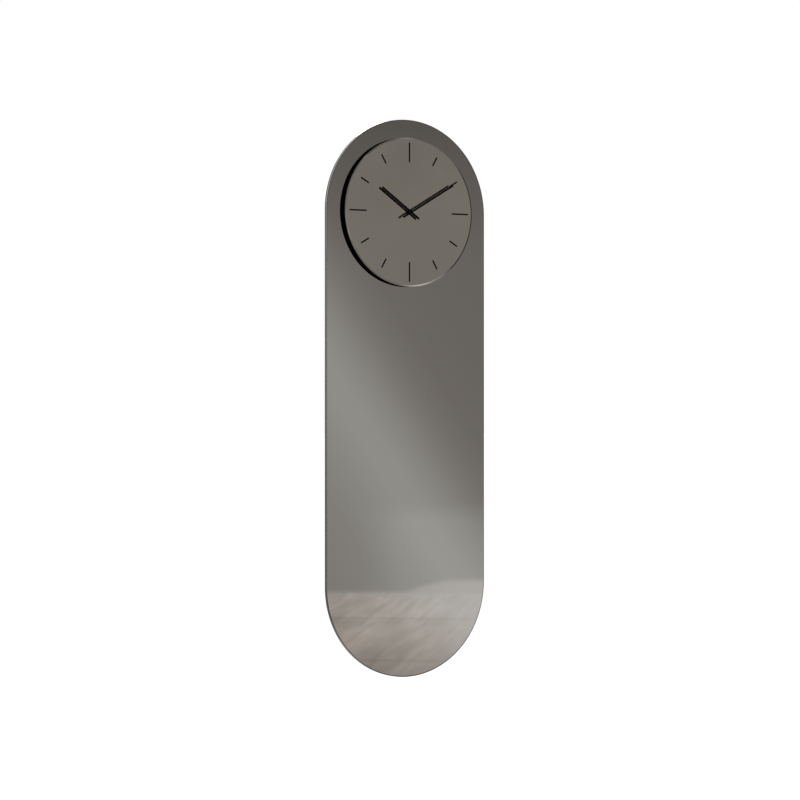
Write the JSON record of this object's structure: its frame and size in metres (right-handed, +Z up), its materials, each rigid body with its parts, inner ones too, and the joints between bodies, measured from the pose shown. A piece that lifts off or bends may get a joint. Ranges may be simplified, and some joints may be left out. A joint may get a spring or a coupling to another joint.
{
  "type": "mirror wall clock",
  "caption": "Tall wall clock: a smoked mirror panel with two round ends and a round mirror dial standing proud near its top, with bar markers and baton hands.",
  "frame": {"origin": "on the dial's axis, in the plane of the two keyhole plates' rear faces, midway between their round holes", "axes": "+Z up, +X to the right seen from the front, front facing -Y, wall at +Y"},
  "size_m": [0.4, 0.0458, 1.1998],
  "materials": {
    "mirror_glass": "smoked mirror glass, polished",
    "dial_mirror": "smoked mirror glass, bevelled edge",
    "foam_tape": "foam bonding tape",
    "board": "black fibreboard",
    "hanger_steel": "zinc plated",
    "black_rubber": "matt",
    "drum_black": "satin black",
    "hand_black": "satin black paint on aluminium",
    "case_plastic": "moulded, fine texture",
    "brass": "turned",
    "white_plastic": "moulded acetal",
    "iron_core": "annealed sheet",
    "copper": "enamelled copper wire",
    "circuit_green": "solder mask",
    "chip_resin": "resin",
    "nickel": "nickel plated",
    "magnet": "sintered",
    "battery_steel": "plain printed sleeve"
  },
  "bodies": {
    "frame": {"mirror_panel": "mirror_glass", "mirror_tapes": "foam_tape", "back_board": "board", "hanger_plates": "hanger_steel", "hanger_screws": "hanger_steel", "bumpers": "black_rubber", "drum_tape": "foam_tape", "dial_drum": "drum_black", "dial_tape": "foam_tape", "dial_glass": "dial_mirror", "quarter_markers": "hand_black", "hour_markers": "hand_black", "movement_case": "case_plastic", "movement_cover": "case_plastic", "centre_bushing": "brass", "rubber_washer": "black_rubber", "fixing_nut": "brass", "gear_plate": "white_plastic", "stator": "iron_core", "coil_core": "iron_core", "coil_bobbin": "white_plastic", "coil_winding": "copper", "circuit_board": "circuit_green", "quartz_crystal": "nickel", "driver_chip": "chip_resin", "positive_contact": "nickel", "negative_contact": "nickel"},
    "minute_hand": {"minute_hand": "hand_black", "minute_cap": "hand_black", "cannon_pinion": "brass"},
    "hour_hand": {"hour_hand": "hand_black", "hour_wheel": "white_plastic"},
    "minute_wheel": {"minute_wheel": "white_plastic", "setting_knob": "case_plastic"},
    "rotor": {"rotor": "white_plastic", "rotor_magnet": "magnet"},
    "fifth_wheel": {"fifth_wheel": "white_plastic"},
    "fourth_wheel": {"fourth_wheel": "white_plastic"},
    "third_wheel": {"third_wheel": "white_plastic"},
    "centre_wheel": {"centre_wheel": "brass"},
    "battery": {"battery_can": "battery_steel", "battery_button": "nickel"}
  },
  "joints": [
    {"name": "minute_hand_turn", "type": "hinge", "parent": "frame", "child": "minute_hand", "pos_m": [0, -0.03, 0], "axis": [0, 1, 0], "continuous": true},
    {"name": "hour_hand_turn", "type": "hinge", "parent": "frame", "child": "hour_hand", "pos_m": [0, -0.03, 0], "axis": [0, 1, 0], "continuous": true},
    {"name": "setting_knob_turn", "type": "hinge", "parent": "frame", "child": "minute_wheel", "pos_m": [-0.00727, -0.01, 0.0042], "axis": [0, 1, 0], "continuous": true},
    {"name": "rotor_turn", "type": "hinge", "parent": "frame", "child": "rotor", "pos_m": [0, -0.01, 0.01212], "axis": [0, 1, 0], "continuous": true},
    {"name": "fifth_wheel_turn", "type": "hinge", "parent": "frame", "child": "fifth_wheel", "pos_m": [0, -0.01, 0.00732], "axis": [0, 1, 0], "continuous": true},
    {"name": "fourth_wheel_turn", "type": "hinge", "parent": "frame", "child": "fourth_wheel", "pos_m": [0, -0.01, 0], "axis": [0, 1, 0], "continuous": true},
    {"name": "third_wheel_turn", "type": "hinge", "parent": "frame", "child": "third_wheel", "pos_m": [0.00695, -0.01, 0.00186], "axis": [0, 1, 0], "continuous": true},
    {"name": "centre_wheel_turn", "type": "hinge", "parent": "frame", "child": "centre_wheel", "pos_m": [0, -0.01, 0], "axis": [0, 1, 0], "continuous": true},
    {"name": "battery_out", "type": "slide", "parent": "frame", "child": "battery", "axis": [0, 1, 0], "range_m": [0, 0.018]}
  ],
  "couplings": [
    {"joint": "hour_hand_turn", "follows": "minute_hand_turn", "ratio": 0.083333},
    {"joint": "setting_knob_turn", "follows": "minute_hand_turn", "ratio": -0.33333},
    {"joint": "fifth_wheel_turn", "follows": "rotor_turn", "ratio": -0.2},
    {"joint": "fourth_wheel_turn", "follows": "rotor_turn", "ratio": 0.033333},
    {"joint": "third_wheel_turn", "follows": "rotor_turn", "ratio": -0.0044444},
    {"joint": "centre_wheel_turn", "follows": "rotor_turn", "ratio": 0.00055556}
  ]
}
